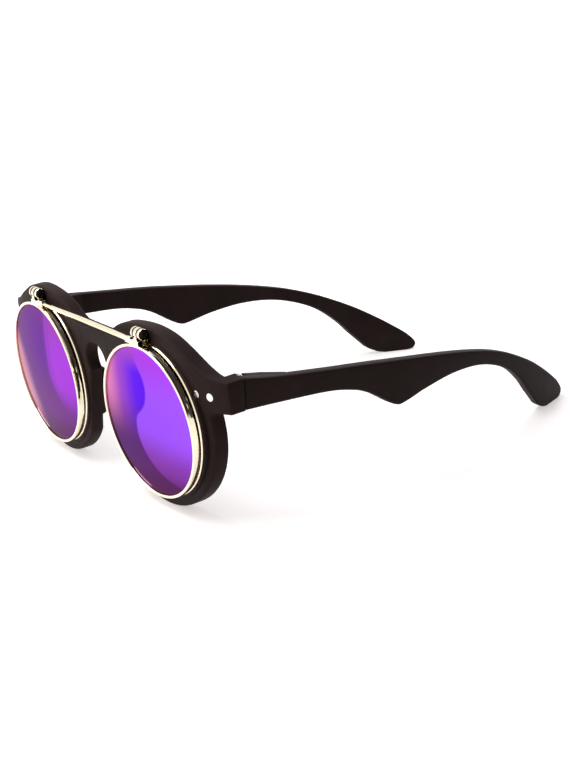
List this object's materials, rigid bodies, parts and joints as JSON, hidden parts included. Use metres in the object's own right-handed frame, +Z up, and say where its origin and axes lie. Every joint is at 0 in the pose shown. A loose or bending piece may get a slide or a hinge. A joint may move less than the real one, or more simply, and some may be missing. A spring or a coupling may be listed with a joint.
{
  "type": "flip up sunglasses",
  "caption": "Round sunglasses with a dark moulded front and temples, and a gold metal flip-up pair of violet mirrored lenses hinged at the brow.",
  "frame": {"origin": "on the surface the glasses rest on, under the middle of their bounding box, with the temples open and the flip-up closed", "axes": "+X to the side of the temple nearer the camera, -Y the way the lenses look, +Z up"},
  "size_m": [0.139, 0.1708, 0.0586],
  "materials": {
    "soft_touch_plastic": "soft-touch matte, brown-black",
    "gold_metal": "polished pale gold plating",
    "silver_steel": "bright",
    "mirror_lens": "violet and magenta mirror coating on a plastic lens",
    "dark_lens": "clear gloss, dark tint"
  },
  "bodies": {
    "front": {"front_frame": "soft_touch_plastic", "rear_lens_right": "dark_lens", "rear_lens_left": "dark_lens", "trim_ring_right": "gold_metal", "trim_ring_left": "gold_metal", "hinge_base_right": "gold_metal", "hinge_base_left": "gold_metal", "base_screw_right": "silver_steel", "base_screw_left": "silver_steel", "flip_screw_right": "gold_metal", "flip_screw_left": "gold_metal", "front_leaf_right": "silver_steel", "front_leaf_left": "silver_steel", "front_rivets_right": "silver_steel", "front_rivets_left": "silver_steel", "pivot_screw_right": "silver_steel", "pivot_screw_left": "silver_steel"},
    "flip_up": {"brow_bar": "gold_metal", "flip_arm_right": "gold_metal", "flip_arm_left": "gold_metal", "flip_rim_right": "gold_metal", "flip_rim_left": "gold_metal", "flip_lens_right": "mirror_lens", "flip_lens_left": "mirror_lens"},
    "temple_arm_right": {"temple_right": "soft_touch_plastic", "temple_leaf_right": "silver_steel", "leaf_screws_right": "silver_steel"},
    "temple_arm_left": {"temple_left": "soft_touch_plastic", "temple_leaf_left": "silver_steel", "leaf_screws_left": "silver_steel"}
  },
  "joints": [
    {"name": "flip_hinge", "type": "hinge", "parent": "front", "child": "flip_up", "pos_m": [0, -0.08337, 0.05659], "axis": [-1, 0, 0], "range_deg": [0, 110]},
    {"name": "temple_fold_right", "type": "hinge", "parent": "front", "child": "temple_arm_right", "pos_m": [0.0633, -0.06783, 0.04226], "axis": [0, 0, 1], "range_deg": [0, 84]},
    {"name": "temple_fold_left", "type": "hinge", "parent": "front", "child": "temple_arm_left", "pos_m": [-0.0633, -0.06783, 0.04226], "axis": [0, 0, -1], "range_deg": [0, 76]}
  ]
}
